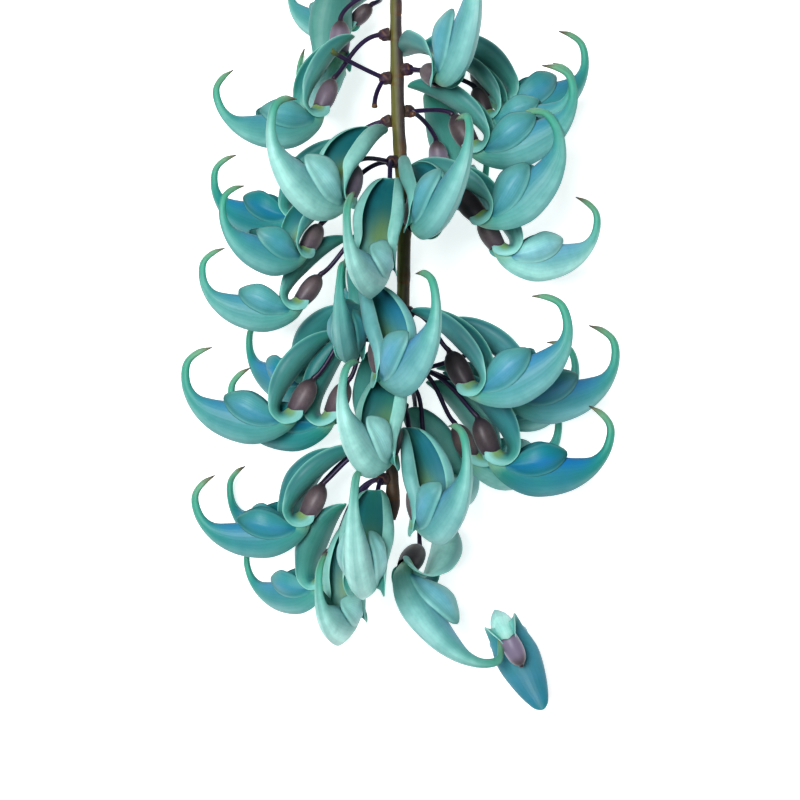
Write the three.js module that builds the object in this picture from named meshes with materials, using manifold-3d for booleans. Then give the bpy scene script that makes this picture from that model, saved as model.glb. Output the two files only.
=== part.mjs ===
// Jade vine: one hanging flower spray, cut at its top and laid down on a flat surface.
// Millimetres. The spray hung along -Y and now lies along it, +Z is up, and the surface is z = 0.
import * as THREE from 'three';
import { mergeVertices } from 'three/addons/utils/BufferGeometryUtils.js';
import Module from 'manifold-3d';

const wasm = await Module();
wasm.setup();

// Driving dimensions
const AXIS_HEIGHT = 68; // the rachis above the surface
const GAP = 0.3; // air left where two pieces meet
const PEDICEL_THICK = 2.5;
const KNOB_LONG = 5.5; // the tubercle on the rachis that carries a bunch of pedicels
const KNOB_THICK = 6;
const CALYX_LONG = 17;
const CALYX_NECK = 1.5; // where the pedicel starts to widen, beyond the calyx
const PETAL_THICK = 1.3; // of a blade's middle, which thins to its margins
const BARE_BOW = 3; // how far a bare pedicel bows out
const SURFACE_SLAB = { wide: 900, deep: 100 }; // what the lowest petals are cut flat on
const CENTRE = { x: 1.5, y: 34 }; // the middle of the spray's box, brought to the origin

// A pedicel's reach as it leaves its knob, as it comes into its calyx, and how far it bends off the banner
const PEDICEL_CURVE = { start: 0.4, end: 0.2, aside: 0.1 };

const STALK_SIDES = 6;
const STALK_STEPS = 3;
const RACHIS_SIDES = 8;

const COLOURS = {
  rachis: 0x6b6a3c,
  pedicel: 0x2c2038,
  calyx: 0x6f5a66,
  petal: 0x5fb3ab,
};

// One flower in its own plane. U runs out of the calyx, V towards the banner and the keel's hook, W to the
// side, and the calyx mouth is the origin. At size 1 the claw is 60 mm deep. back is the keel's outer
// curve, front its inner one, low and high are a wing's margins, and fold is the banner's middle line.
const KEEL = [
  { back: [0.3, -3.6], front: [0.3, 3.4], wide: 7.2 },
  { back: [7, -3.0], front: [4.5, 5], wide: 8.6 },
  { back: [16.5, 1.2], front: [6.5, 13], wide: 11.4 },
  { back: [25.5, 10.5], front: [9, 21.5], wide: 12 },
  { back: [29.3, 22.5], front: [11.5, 30.5], wide: 11 },
  { back: [29.2, 35], front: [14.8, 39], wide: 8.8 },
  { back: [25, 46.5], front: [16.5, 46.5], wide: 6 },
  { back: [16.5, 56.3], front: [13.2, 53], wide: 3.8 },
  { back: [5, 60.4], front: [4.6, 57.9], wide: 2.2 },
];
const KEEL_TIP = [-7.3, 51.8];
const KEEL_SECTION = [[0, 0], [0.32, 0.5], [0.8, 0.42], [1, 0], [0.8, -0.42], [0.32, -0.5]];

const WING_ROOT = [6, 0.5, 2.2];
const WING = [
  { low: [12.6, 4.2, 6.4], mid: [9.4, 6.8, 8.2], high: [6.2, 9.0, 7.2] },
  { low: [16.8, 11.6, 6.9], mid: [9.6, 14.2, 10.1], high: [2.2, 16.4, 9.2] },
  { low: [17.0, 19.8, 6.8], mid: [9.6, 21.6, 9.8], high: [2.0, 23.0, 8.6] },
  { low: [14.0, 27.2, 5.6], mid: [9.6, 28.2, 7.2], high: [5.0, 29.2, 6.6] },
];
const WING_TIP = [9.3, 33, 4.9];

const BANNER_ROOT = [3.5, -0.5];
const BANNER = [
  { fold: [4.8, 5.0], margin: [7.5, 4.2], wide: 7.5 },
  { fold: [3.4, 8.4], margin: [6.9, 11.4], wide: 11.5 },
  { fold: [-2.8, 9.0], margin: [-1.6, 15.6], wide: 17.5 },
  { fold: [-15.5, 7.4], margin: [-16.5, 17.2], wide: 23.5 },
  { fold: [-30.5, 4.4], margin: [-33, 13], wide: 20 },
];
const BANNER_TIP = [-44.5, -1];
const BANNER_COLUMNS = [-1, -0.62, 0, 0.62, 1];

// The calyx from its base to its mouth, along in calyx lengths
const CALYX = [
  { along: -1, radius: 1.7 },
  { along: -0.8, radius: 4.4 },
  { along: -0.38, radius: 5.6 },
  { along: 0, radius: 4.3 },
];

// The knob on the rachis from its root outward, in knob lengths and widths
const KNOB = [{ along: 0, wide: 1 }, { along: 0.55, wide: 1 }, { along: 1, wide: 0.5 }];

// The rachis from its cut top to its bare end
const RACHIS = [
  { at: [-2, 217], radius: 2.9 },
  { at: [-2, 182], radius: 2.9 },
  { at: [-1.5, 164], radius: 3.3 },
  { at: [-1, 142], radius: 3.2 },
  { at: [0.5, 118], radius: 3.3 },
  { at: [2, 102], radius: 3.4 },
  { at: [2, 72], radius: 3.3 },
  { at: [1.5, 40], radius: 3 },
  { at: [1, 8], radius: 3 },
  { at: [-2, -12], radius: 2.9 },
  { at: [-4.5, -27], radius: 2.9 },
  { at: [-3.8, -39], radius: 3 },
  { at: [-3.5, -57], radius: 2.4 },
  { at: [-3.5, -60], radius: 1.3 },
];

// Bunches of pedicels: where each leaves the rachis, the side it points to, and its bare pedicels
const BUNCHES = {
  a: { along: 206, turn: 200, bare: [] },
  b: { along: 183, turn: 175, bare: [] },
  c: { along: 165, turn: 30, bare: [] },
  d: { along: 161, turn: 165, bare: [[-34, 171.5, 15], [-12.5, 145, 9]] },
  e: { along: 145, turn: 340, bare: [[6, 139, 22]] },
  f: { along: 140, turn: 195, bare: [] },
  g: { along: 119, turn: 140, bare: [] },
  h: { along: 106, turn: 20, bare: [] },
  j: { along: 92, turn: 200, bare: [] },
  k: { along: 44, turn: 60, bare: [] },
  l: { along: 50, turn: 200, bare: [] },
  m: { along: 36, turn: 120, bare: [] },
  n: { along: 16, turn: 345, bare: [] },
  o: { along: -3, turn: 70, bare: [] },
  p: { along: -22, turn: 195, bare: [] },
  q: { along: -39, turn: 150, bare: [] },
  r: { along: 7, turn: 315, bare: [] },
  s: { along: 30, turn: 215, bare: [] },
};

// The flowers. at is the calyx mouth: across, along, and above the rachis. Angles are in degrees: turn is
// the side the flower hangs on (0 right, 90 up, 180 left, 270 down), droop the calyx's angle from the
// hanging line, lift how much further the keel and wings close on the banner, lean a turn about the
// vertical, clockwise from above, and bend the banner's own turn towards the calyx. f37 has dropped off.
const FLOWERS = {
  f01: { bunch: 'a', at: [-24, 198, -38], turn: 200, droop: 50, lift: -8, size: 0.72 },
  f02: { bunch: 'a', at: [-31, 177, -16.5], turn: 245, droop: 6, lift: 0, size: 0.95 },
  f03: { bunch: 'b', at: [-39, 145, 8], turn: 160, droop: 24, lift: -13, size: 0.9 },
  f05: { bunch: 'g', at: [-26, 97, 33], turn: 128, droop: 24, lift: 18, bend: 15, size: 1.05 },
  f06: { bunch: 'f', at: [-48, 97, -12], turn: 195, droop: 30, lift: 0, bend: 2, size: 0.9 },
  f07: { bunch: 'g', at: [-46, 74, 16], turn: 144, droop: 34, lift: -3, bend: 4, size: 0.86 },
  f08: { bunch: 'j', at: [-49, 50, 0], turn: 174, droop: 36, lift: -10, size: 0.88 },
  f09: { bunch: 'j', at: [-15, 50, -20], turn: 250, droop: 30, lift: 0, bend: -12, size: 0.85 },
  f10: { bunch: 'g', at: [-8, 66, 38], turn: 106, droop: 20, lift: 4, size: 1.0 },
  f11: { bunch: 'l', at: [-52, -5, 0], turn: 180, droop: 29, lift: 0, bend: -2, size: 1.0 },
  f12: { bunch: 'l', at: [-34, -6, -10], turn: 197, droop: 27, lift: -8, bend: -8, size: 0.96 },
  f13: { bunch: 'm', at: [-23, 24, 20], turn: 98, droop: 60, lift: -5, bend: -10, size: 0.85 },
  f14: { bunch: 's', at: [-43, 14, -32], turn: 222, droop: 30, lift: 0, bend: 6, size: 0.95 },
  f15: { bunch: 'm', at: [-6, -26, 40], turn: 115, droop: 28, lift: 20, bend: -8, size: 1.0 },
  f16: { bunch: 's', at: [-13, -14, -4], turn: 268, droop: 18, lift: 0, bend: -12, size: 0.88 },
  f17: { bunch: 'p', at: [-46, -57, 2], turn: 180, droop: 27, lift: -12, bend: 10, size: 0.96 },
  f18: { bunch: 'p', at: [-48, -60, -26], turn: 217, droop: 27, lift: -5, bend: 6, size: 0.95 },
  f19: { bunch: 'q', at: [-38, -89, -8], turn: 215, droop: 18, lift: -5, size: 0.88 },
  f20: { bunch: 'q', at: [-15, -86, 36], turn: 98, droop: 34, lift: 26, bend: -8, size: 1.05 },
  f21: { bunch: 'q', at: [-23, -102, 2], turn: 106, droop: 16, lift: 12, bend: -10, size: 0.98 },
  f22: { bunch: 'c', at: [47, 156, -20], turn: 343, droop: 36, lift: 0, bend: 15, size: 0.98 },
  f23: { bunch: 'c', at: [19, 155, 30], turn: 65, droop: 68, lift: 0, bend: -4, size: 1.0 },
  f24: { bunch: 'c', at: [43, 145, -4], turn: 18, droop: 25, lift: 0, bend: 8, size: 0.78 },
  f25: { bunch: 'e', at: [34.5, 126, 12], turn: 15, droop: 31, lift: 7, bend: 14, size: 0.98 },
  f26: { bunch: 'h', at: [8, 84, 34], turn: 68, droop: 54, lift: 5, lean: 12, bend: -8, size: 1.02 },
  f27: { bunch: 'h', at: [38.5, 90.5, 13], turn: 24, droop: 41, lift: 18, bend: 14, size: 1.0 },
  f28: { bunch: 'e', at: [21, 118, -22.8], turn: 300, droop: 20, lift: 0, size: 0.9 },
  f29: { bunch: 'h', at: [49, 78, -10], turn: 350, droop: 32, lift: -8, bend: 8, size: 0.93 },
  f30: { bunch: 'k', at: [-8, 13, 40], turn: 62, droop: 22, lift: 24, bend: 2, size: 1.06 },
  f31: { bunch: 'k', at: [32, 8, 20], turn: 18, droop: 28, lift: 16, bend: 8, size: 1.02 },
  f32: { bunch: 'n', at: [53, 5.5, -14], turn: 355, droop: 28, lift: 1, bend: 12, size: 1.04 },
  f33: { bunch: 'n', at: [46, -26, -8], turn: 356, droop: 22, lift: -5, bend: 8, size: 1.05 },
  f34: { bunch: 'o', at: [10, -57, 36], turn: 66, droop: 22, lift: 26, bend: -3, size: 1.04 },
  f35: { bunch: 'n', at: [36, -28, -27], turn: 328, droop: 30, lift: -6, bend: 4, size: 1.02 },
  f36: { bunch: 'r', at: [3.5, -86, -23.4], turn: 304, droop: -90, lean: -53, lift: -8, size: 1.12 },
  f37: { at: [55, -121, -18.6], turn: 90, droop: 180, lean: -26, lift: 40, bend: -6, size: 0.95 },
  f38: { bunch: 'r', at: [21, -38, -19.5], turn: 292, droop: 16, lean: -22, lift: -5, size: 0.88 },
  f39: { bunch: 'n', at: [50, -7, -34], turn: 350, droop: 46, lift: 0, bend: 6, size: 0.88 },
};

const UP = new THREE.Vector3(0, 0, 1);
const HANGING = new THREE.Vector3(0, -1, 0);

function point(x, y, z) {
  return new THREE.Vector3(x, y, z);
}

/** A geometry from points and triangles, with its faces turned outward. */
function closedGeometry(points, triangles) {
  let volume = 0;
  for (const [a, b, c] of triangles) {
    volume += points[a].dot(points[b].clone().cross(points[c]));
  }
  const outward = volume > 0 ? triangles : triangles.map(([a, b, c]) => [a, c, b]);
  const geometry = new THREE.BufferGeometry();
  const positions = points.flatMap((p) => [p.x, p.y, p.z]);
  geometry.setAttribute('position', new THREE.Float32BufferAttribute(positions, 3));
  geometry.setIndex(outward.flat());
  return geometry;
}

/** A body through closed rings of equal count, capped flat or drawn to a tip at its end. */
function loft(rings, tip) {
  const count = rings[0].length;
  const points = rings.flat();
  const triangles = [];
  for (let i = 0; i + 1 < rings.length; i += 1) {
    for (let j = 0; j < count; j += 1) {
      const next = (j + 1) % count;
      const [a, b] = [i * count + j, i * count + next];
      triangles.push([a, b, b + count], [a, b + count, a + count]);
    }
  }
  for (let j = 1; j + 1 < count; j += 1) {
    triangles.push([0, j + 1, j]);
  }
  const last = (rings.length - 1) * count;
  if (tip) {
    points.push(tip);
    for (let j = 0; j < count; j += 1) {
      triangles.push([last + j, last + ((j + 1) % count), points.length - 1]);
    }
  } else {
    for (let j = 1; j + 1 < count; j += 1) {
      triangles.push([last, last + j, last + j + 1]);
    }
  }
  return closedGeometry(points, triangles);
}

/** A petal blade from its root to its tip: rows of points across it, thick within its sharp margins. */
function blade(root, rows, tip, thick) {
  const across = rows[0].length;
  const points = [root, tip];
  const sheets = [1, -1].map((side) => rows.map((row, i) => row.map((p, j) => {
    if (j > 0 && j < across - 1) {
      const before = i > 0 ? rows[i - 1][j] : root;
      const after = i + 1 < rows.length ? rows[i + 1][j] : tip;
      const normal = after.clone().sub(before).cross(row[j + 1].clone().sub(row[j - 1])).normalize();
      points.push(p.clone().addScaledVector(normal, (side * thick) / 2));
    } else if (side > 0) {
      points.push(p);
    } else {
      return null;
    }
    return points.length - 1;
  })));
  const triangles = [];
  sheets.forEach((sheet, which) => {
    const at = (i, j) => sheet[i][j] ?? sheets[0][i][j];
    const add = (a, b, c) => triangles.push(which === 0 ? [a, b, c] : [a, c, b]);
    for (let j = 0; j + 1 < across; j += 1) {
      add(0, at(0, j + 1), at(0, j));
      for (let i = 0; i + 1 < rows.length; i += 1) {
        add(at(i, j), at(i, j + 1), at(i + 1, j + 1));
        add(at(i, j), at(i + 1, j + 1), at(i + 1, j));
      }
      add(at(rows.length - 1, j), at(rows.length - 1, j + 1), 1);
    }
  });
  return closedGeometry(points, triangles);
}

/** The solid that a closed geometry bounds. */
function solid(geometry) {
  const bare = geometry.clone();
  bare.deleteAttribute('normal');
  bare.deleteAttribute('uv');
  const merged = mergeVertices(bare);
  return new wasm.Manifold(new wasm.Mesh({
    numProp: 3,
    vertProperties: new Float32Array(merged.attributes.position.array),
    triVerts: new Uint32Array(merged.index.array),
  }));
}

/** One solid from overlapping closed geometries. */
function fused(geometries) {
  return geometries.map(solid).reduce((whole, next) => whole.add(next));
}

/** The part of a solid above the surface, so that what touches it has a flat spot. */
function rested(body) {
  const { wide, deep } = SURFACE_SLAB;
  const slab = new THREE.BoxGeometry(wide, wide, deep);
  slab.translate(0, 0, -deep / 2);
  return body.subtract(solid(slab));
}

function mesh(name, body, colour) {
  const { vertProperties, triVerts } = body.getMesh();
  const geometry = new THREE.BufferGeometry();
  geometry.setAttribute('position', new THREE.BufferAttribute(vertProperties, 3));
  geometry.setIndex(new THREE.BufferAttribute(triVerts, 1));
  geometry.computeVertexNormals();
  const material = new THREE.MeshStandardMaterial({ color: colour, roughness: 0.45, metalness: 0 });
  const made = new THREE.Mesh(geometry, material);
  made.name = name;
  return made;
}

/** A closed ring of points round a centre. */
function ringOf(centre, right, up, radius, sides = STALK_SIDES) {
  return Array.from({ length: sides }, (_, j) => {
    const angle = (2 * Math.PI * j) / sides;
    return centre.clone()
      .addScaledVector(right, radius * Math.cos(angle)).addScaledVector(up, radius * Math.sin(angle));
  });
}

/** The radial direction on one side of the rachis. */
function sideways(turn) {
  const angle = THREE.MathUtils.degToRad(turn);
  return point(Math.cos(angle), 0, Math.sin(angle));
}

/** The frame of one flower: its mouth and its U, V and W directions. */
function flowerFrame({ at, turn, droop, lean = 0, size }) {
  const out = sideways(turn);
  const angle = THREE.MathUtils.degToRad(droop);
  const u = out.clone().multiplyScalar(Math.sin(angle)).addScaledVector(HANGING, Math.cos(angle));
  const v = out.clone().multiplyScalar(Math.cos(angle)).addScaledVector(HANGING, -Math.sin(angle));
  for (const direction of [u, v]) {
    direction.applyAxisAngle(UP, -THREE.MathUtils.degToRad(lean));
  }
  const w = u.clone().cross(v);
  const mouth = point(at[0], at[1], at[2] + AXIS_HEIGHT);
  return { mouth, u, v, w, size };
}

/** A point of the flower's own plane in the part's frame, closed by lift degrees on the banner. */
function placed(frame, [pu, pv, pw = 0], lift = 0) {
  const angle = THREE.MathUtils.degToRad(lift);
  const along = pu * Math.cos(angle) - pv * Math.sin(angle);
  const outward = pu * Math.sin(angle) + pv * Math.cos(angle);
  return frame.mouth.clone()
    .addScaledVector(frame.u, along * frame.size)
    .addScaledVector(frame.v, outward * frame.size)
    .addScaledVector(frame.w, pw * frame.size);
}

function keel(frame, lift) {
  const rings = KEEL.map(({ back, front, wide }, i) => {
    const closing = i === 0 ? 0 : lift;
    return KEEL_SECTION.map(([share, half]) => placed(frame, [
      back[0] + (front[0] - back[0]) * share,
      back[1] + (front[1] - back[1]) * share,
      half * wide,
    ], closing));
  });
  return loft(rings, placed(frame, KEEL_TIP, lift));
}

function wing(frame, lift, side) {
  const to = ([pu, pv, pw]) => placed(frame, [pu, pv, pw * side], lift);
  const rows = WING.map(({ low, mid, high }) => [to(low), to(mid), to(high)]);
  return blade(to(WING_ROOT), rows, to(WING_TIP), PETAL_THICK * frame.size);
}

function banner(frame, lift) {
  const rows = BANNER.map(({ fold, margin, wide }) => BANNER_COLUMNS.map((share) => {
    const open = share * share;
    return placed(frame, [
      fold[0] + (margin[0] - fold[0]) * open,
      fold[1] + (margin[1] - fold[1]) * open,
      (share * wide) / 2,
    ], lift);
  }));
  const [root, tip] = [BANNER_ROOT, BANNER_TIP].map((p) => placed(frame, p, lift));
  return blade(root, rows, tip, PETAL_THICK * frame.size);
}

/** One flower without its calyx. */
function flower(form) {
  const frame = flowerFrame(form);
  const { lift, bend = 0 } = form;
  return rested(fused([
    keel(frame, lift), wing(frame, lift, 1), wing(frame, lift, -1), banner(frame, bend),
  ]));
}

/** A pedicel along a curve that widens into its calyx, or that ends bare. */
function stalk(path, side, radii, frame) {
  const rings = radii.map((radius, i) => {
    const share = i / (radii.length - 1);
    const centre = path.getPoint(share);
    const ahead = path.getTangent(share);
    const across = side.clone().addScaledVector(ahead, -side.dot(ahead)).normalize();
    return ringOf(centre, across, ahead.clone().cross(across), radius);
  });
  if (frame) {
    for (const { along, radius } of CALYX) {
      const centre = placed(frame, [along * CALYX_LONG, 0]);
      const size = radius * frame.size;
      rings.push(ringOf(centre, frame.w, frame.u.clone().cross(frame.w), size));
    }
  }
  return loft(rings);
}

/** The calyx of the dropped flower. */
function looseCalyx(frame) {
  const rings = CALYX.map(({ along, radius }) => ringOf(
    placed(frame, [along * CALYX_LONG, 0]), frame.w, frame.u.clone().cross(frame.w), radius * frame.size,
  ));
  return solid(loft(rings));
}

/** The rachis's middle at one place along it. */
function onAxis(along) {
  const index = RACHIS.findIndex(({ at }) => at[1] < along);
  const [before, after] = [RACHIS[index - 1], RACHIS[index]];
  const share = (along - before.at[1]) / (after.at[1] - before.at[1]);
  return {
    middle: point(before.at[0] + (after.at[0] - before.at[0]) * share, along, AXIS_HEIGHT),
    radius: Math.max(before.radius, after.radius),
  };
}

/** The flower axis. */
function rachis() {
  const rings = RACHIS.map(({ at, radius }) => ringOf(
    point(at[0], at[1], AXIS_HEIGHT), point(1, 0, 0), UP, radius, RACHIS_SIDES,
  ));
  return solid(loft(rings));
}

/** A knob on the rachis with its pedicels and their calyces, one body. */
function bunch({ along, turn, bare }, forms) {
  const { middle, radius } = onAxis(along);
  const out = sideways(turn);
  const start = middle.clone().addScaledVector(out, radius + GAP);
  const end = start.clone().addScaledVector(out, KNOB_LONG).addScaledVector(HANGING, 1);
  const across = out.clone().cross(HANGING);
  const knob = KNOB.map((station) => ringOf(
    start.clone().lerp(end, station.along), HANGING, across, (station.wide * KNOB_THICK) / 2,
  ));
  const pieces = [loft(knob)];
  const root = start.clone().lerp(end, 0.5);
  for (const form of forms) {
    const frame = flowerFrame(form);
    const base = placed(frame, [-CALYX_LONG - CALYX_NECK, 0]);
    const reach = root.distanceTo(base);
    const towards = base.clone().sub(root).setY(0).normalize();
    const { start: leaving, end: coming, aside } = PEDICEL_CURVE;
    const path = new THREE.CubicBezierCurve3(
      root,
      root.clone().addScaledVector(towards, reach * leaving),
      base.clone().addScaledVector(frame.u, -reach * coming).addScaledVector(frame.v, -reach * aside),
      base,
    );
    const radii = Array(STALK_STEPS + 1).fill(PEDICEL_THICK / 2);
    pieces.push(stalk(path, frame.w, radii, frame));
  }
  for (const [x, y, z] of bare) {
    const tip = point(x, y, z + AXIS_HEIGHT);
    const halfway = root.clone().lerp(tip, 0.5).addScaledVector(out, BARE_BOW);
    const path = new THREE.QuadraticBezierCurve3(root, halfway, tip);
    const radii = Array(STALK_STEPS).fill(PEDICEL_THICK / 2);
    pieces.push(stalk(path, out.clone().cross(tip.clone().sub(root)).normalize(), radii));
  }
  return fused(pieces);
}

const spray = new THREE.Group();
spray.add(mesh('rachis', rachis(), COLOURS.rachis));
for (const [name, knob] of Object.entries(BUNCHES)) {
  const forms = Object.values(FLOWERS).filter((form) => form.bunch === name);
  spray.add(mesh(`pedicels_${name}`, bunch(knob, forms), COLOURS.pedicel));
}
for (const [name, form] of Object.entries(FLOWERS)) {
  spray.add(mesh(`flower_${name.slice(1)}`, flower(form), COLOURS.petal));
}
spray.add(mesh('calyx_37', looseCalyx(flowerFrame(FLOWERS.f37)), COLOURS.calyx));
spray.position.set(-CENTRE.x, -CENTRE.y, 0);

export default spray;
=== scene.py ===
"""Jade vine: one flower spray, cut at its top and laid down on a flat surface.

The spray hung along -Y and now lies along it, +Z is up and the surface is z = 0. Sizes are in millimetres
until a mesh is made. Each flower has a claw-shaped keel, a wing on each side of it, and a banner that is
bent back over the calyx. A pedicel joins each calyx to a knob on the rachis.
"""
from __future__ import annotations

import logging
import math
from collections.abc import Sequence
from dataclasses import dataclass, field
from enum import Enum, IntEnum

import bpy
import numpy as np
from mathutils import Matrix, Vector

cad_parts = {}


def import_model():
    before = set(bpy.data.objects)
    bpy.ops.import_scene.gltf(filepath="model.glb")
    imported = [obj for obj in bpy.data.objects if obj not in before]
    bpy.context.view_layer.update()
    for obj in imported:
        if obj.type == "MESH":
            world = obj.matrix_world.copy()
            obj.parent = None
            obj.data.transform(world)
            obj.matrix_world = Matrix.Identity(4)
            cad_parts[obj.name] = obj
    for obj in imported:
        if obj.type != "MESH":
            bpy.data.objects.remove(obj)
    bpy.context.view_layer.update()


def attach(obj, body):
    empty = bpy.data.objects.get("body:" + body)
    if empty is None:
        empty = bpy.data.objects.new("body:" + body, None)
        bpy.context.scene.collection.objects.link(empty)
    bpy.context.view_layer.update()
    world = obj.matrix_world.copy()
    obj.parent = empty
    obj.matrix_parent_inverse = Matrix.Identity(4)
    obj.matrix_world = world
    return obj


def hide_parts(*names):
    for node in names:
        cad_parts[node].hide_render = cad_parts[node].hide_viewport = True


LOG = logging.getLogger("jade_vine")

Array = np.ndarray
Colour = tuple[float, float, float, float]
Point = tuple[float, float, float]
Stops = tuple[tuple[float, str], ...]
Even = tuple[tuple[str, object], ...]
Tree = bpy.types.NodeTree
Socket = bpy.types.NodeSocket
Material = bpy.types.Material

MM = 0.001
AXIS_HEIGHT = 68.0  # the rachis above the surface
CENTRE = np.array([1.5, 34.0, 0.0])  # the middle of the spray's box, brought to the origin
GAP = 0.3  # air between the rachis and a knob's root
HANGING = np.array([0.0, -1.0, 0.0])
UP = np.array([0.0, 0.0, 1.0])


class Slot(Enum):
    """The record's material slots."""

    PETAL = "petal"
    CALYX = "calyx"
    PEDICEL = "pedicel"
    RACHIS = "rachis"


class End(Enum):
    """How a body through rings ends."""

    FLAT = "flat"
    POINT = "point"


class Petal(IntEnum):
    """The petals' materials, by their numbers in a flower."""

    KEEL = 0
    WING = 1
    BANNER = 2


class MixSocket(IntEnum):
    """A mix node's sockets for colours, which share their names with its other sockets."""

    SHARE = 0
    BELOW = 6
    ABOVE = 7
    MIXED = 2


def linear(hex_colour: str) -> Colour:
    """Turns an sRGB hex colour to the linear values that a shader takes.

    Args:
        hex_colour: six hex digits after a hash.

    Returns:
        Linear red, green and blue, and an alpha of 1.
    """
    shares = [int(hex_colour[k:k + 2], 16) / 255 for k in (1, 3, 5)]
    red, green, blue = (s / 12.92 if s <= 0.04045 else ((s + 0.055) / 1.055) ** 2.4 for s in shares)
    return red, green, blue, 1.0


def ramp(value: Array | float, low: Array | float, high: Array | float) -> Array:
    """Goes smoothly from 0 at low to 1 at high, which may lie below low."""
    share = np.clip((np.asarray(value, float) - low) / (high - low), 0.0, 1.0)
    return share * share * (3 - 2 * share)


def band(value: Array, rise: float, full: float, fade: float, end: float) -> Array:
    """Goes smoothly from 0 at rise to 1 at full, leaves it at fade and is 0 again at end."""
    return ramp(value, rise, full) * ramp(value, end, fade)


def hump(value: Array, middle: Array | float, spread: float) -> Array:
    """A bell of height 1 round its middle, which falls to about a third at its spread."""
    return np.exp(-(((np.asarray(value, float) - middle) / spread) ** 2))


def smooth_curve(stations: Sequence[Sequence[float]] | Array, count: int) -> Array:
    """Rows spaced evenly along a smooth curve through the stations.

    Args:
        stations: one row of numbers for each station.
        count: how many rows to return.

    Returns:
        The rows, of which the first and last are the first and last station.
    """
    held = np.array(stations, float)
    steps = np.linalg.norm(np.diff(held, axis=0), axis=1)
    knots = np.concatenate([[0.0], np.cumsum(steps)])
    slopes = np.gradient(held, knots, axis=0)
    places = np.linspace(0.0, knots[-1], count)
    index = np.clip(np.searchsorted(knots, places, side="right") - 1, 0, len(knots) - 2)
    span = (knots[index + 1] - knots[index])[:, None]
    share = (places - knots[index])[:, None] / span
    square, cube = share**2, share**3
    return (
        (2 * cube - 3 * square + 1) * held[index]
        + (cube - 2 * square + share) * span * slopes[index]
        + (3 * square - 2 * cube) * held[index + 1]
        + (cube - square) * span * slopes[index + 1]
    )


def unit(vectors: Array) -> Array:
    """The same vectors at a length of 1."""
    return vectors / np.maximum(np.linalg.norm(vectors, axis=-1, keepdims=True), 1e-9)


def sideways(turn: float) -> Array:
    """The direction out from the rachis at a turn in degrees."""
    angle = math.radians(turn)
    return np.array([math.cos(angle), 0.0, math.sin(angle)])


def turned(vector: Array, degrees: float) -> Array:
    """A vector turned about +Z."""
    c, s = math.cos(math.radians(degrees)), math.sin(math.radians(degrees))
    return np.array([vector[0] * c - vector[1] * s, vector[0] * s + vector[1] * c, vector[2]])


def ring_angles(sides: int) -> Array:
    """Angles spaced evenly round a ring."""
    return np.linspace(0.0, math.tau, sides, endpoint=False)


def blade_places(columns: int) -> Array:
    """Places across a blade from -1 to 1, which stand closer together towards its margins."""
    return np.sin(np.linspace(-math.pi / 2, math.pi / 2, columns))


def row_places(rows: int, columns: int) -> Array:
    """How far along, from 0 to 1, each point of a grid lies."""
    return np.broadcast_to(np.linspace(0, 1, rows)[:, None], (rows, columns))


def blade_normals(points: Array) -> Array:
    """Unit normals of a grid of points, rows along it and columns across it."""
    return unit(np.cross(np.gradient(points, axis=0), np.gradient(points, axis=1)))


def tube(path: Array, radius: Array, sides: int, first: Array) -> Array:
    """Rings round a path that don't twist.

    Args:
        path: points along its middle.
        radius: the radius at each point, or at each point and side.
        sides: how many points a ring has.
        first: a direction that the first ring's first point lies in.

    Returns:
        The rings.
    """
    across = first
    rings = []
    angle = ring_angles(sides)[:, None]
    for k, way in enumerate(unit(np.gradient(path, axis=0))):
        across = unit(across - way * float(across @ way))
        reach = np.broadcast_to(radius[k], (sides,))[:, None]
        rings.append(path[k] + reach * (np.cos(angle) * across + np.sin(angle) * np.cross(way, across)))
    return np.array(rings)


def placed(name: str, data: bpy.types.ID) -> bpy.types.Object:
    """Puts a new object in the scene, at the origin.

    Args:
        name: the object's name.
        data: its mesh, camera or light.

    Returns:
        The object.
    """
    made = bpy.data.objects.new(name, data)
    bpy.context.scene.collection.objects.link(made)
    return made


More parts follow.
